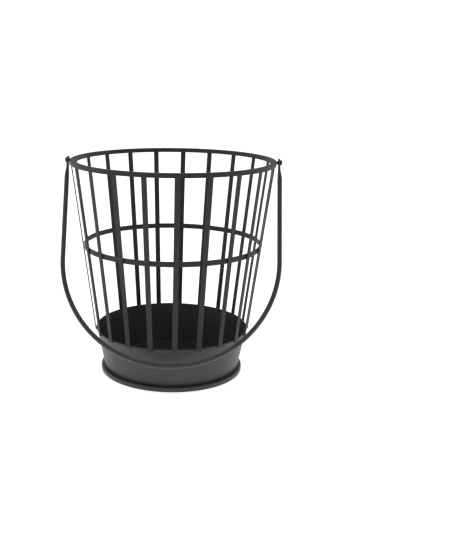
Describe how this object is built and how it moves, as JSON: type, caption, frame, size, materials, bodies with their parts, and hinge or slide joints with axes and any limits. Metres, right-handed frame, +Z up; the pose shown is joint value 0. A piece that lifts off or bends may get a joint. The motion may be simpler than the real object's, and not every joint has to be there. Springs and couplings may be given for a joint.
{
  "type": "firewood basket",
  "caption": "Round tapered firewood basket: flat steel slats on a shallow sheet-steel tub, a bar rim, and a swinging bail handle, in matt black powder coat.",
  "frame": {"origin": "on the basket's vertical axis, on the surface that the foot ring stands on", "axes": "+Z up, X along the handle's two pivot pins, -Y towards the side on which the handle rests"},
  "size_m": [0.4126, 0.39, 0.42],
  "materials": {
    "cage_coat": "matt black powder coat",
    "tub_coat": "matt to satin black powder coat",
    "floor_coat": "matt black powder coat",
    "handle_coat": "satin black powder coat",
    "pin_coat": "satin black powder coat"
  },
  "bodies": {
    "basket": {"top_ring": "cage_coat", "mid_ring": "cage_coat", "tub_wall": "tub_coat", "tub_floor": "floor_coat", "foot_ring": "tub_coat", "slat_01": "cage_coat", "slat_02": "cage_coat", "slat_03": "cage_coat", "slat_04": "cage_coat", "slat_05": "cage_coat", "slat_06": "cage_coat", "slat_07": "cage_coat", "slat_08": "cage_coat", "slat_09": "cage_coat", "slat_10": "cage_coat", "slat_11": "cage_coat", "slat_12": "cage_coat", "slat_13": "cage_coat", "slat_14": "cage_coat", "slat_15": "cage_coat", "slat_16": "cage_coat", "slat_17": "cage_coat", "slat_18": "cage_coat", "slat_19": "cage_coat", "slat_20": "cage_coat", "slat_21": "cage_coat", "pivot_pin_left": "pin_coat", "pivot_pin_right": "pin_coat"},
    "handle": {"handle": "handle_coat"}
  },
  "joints": [
    {"name": "handle_swing", "type": "hinge", "parent": "basket", "child": "handle", "pos_m": [0, 0, 0.412], "axis": [-1, 0, 0], "range_deg": [-2.6, 312.4]}
  ]
}
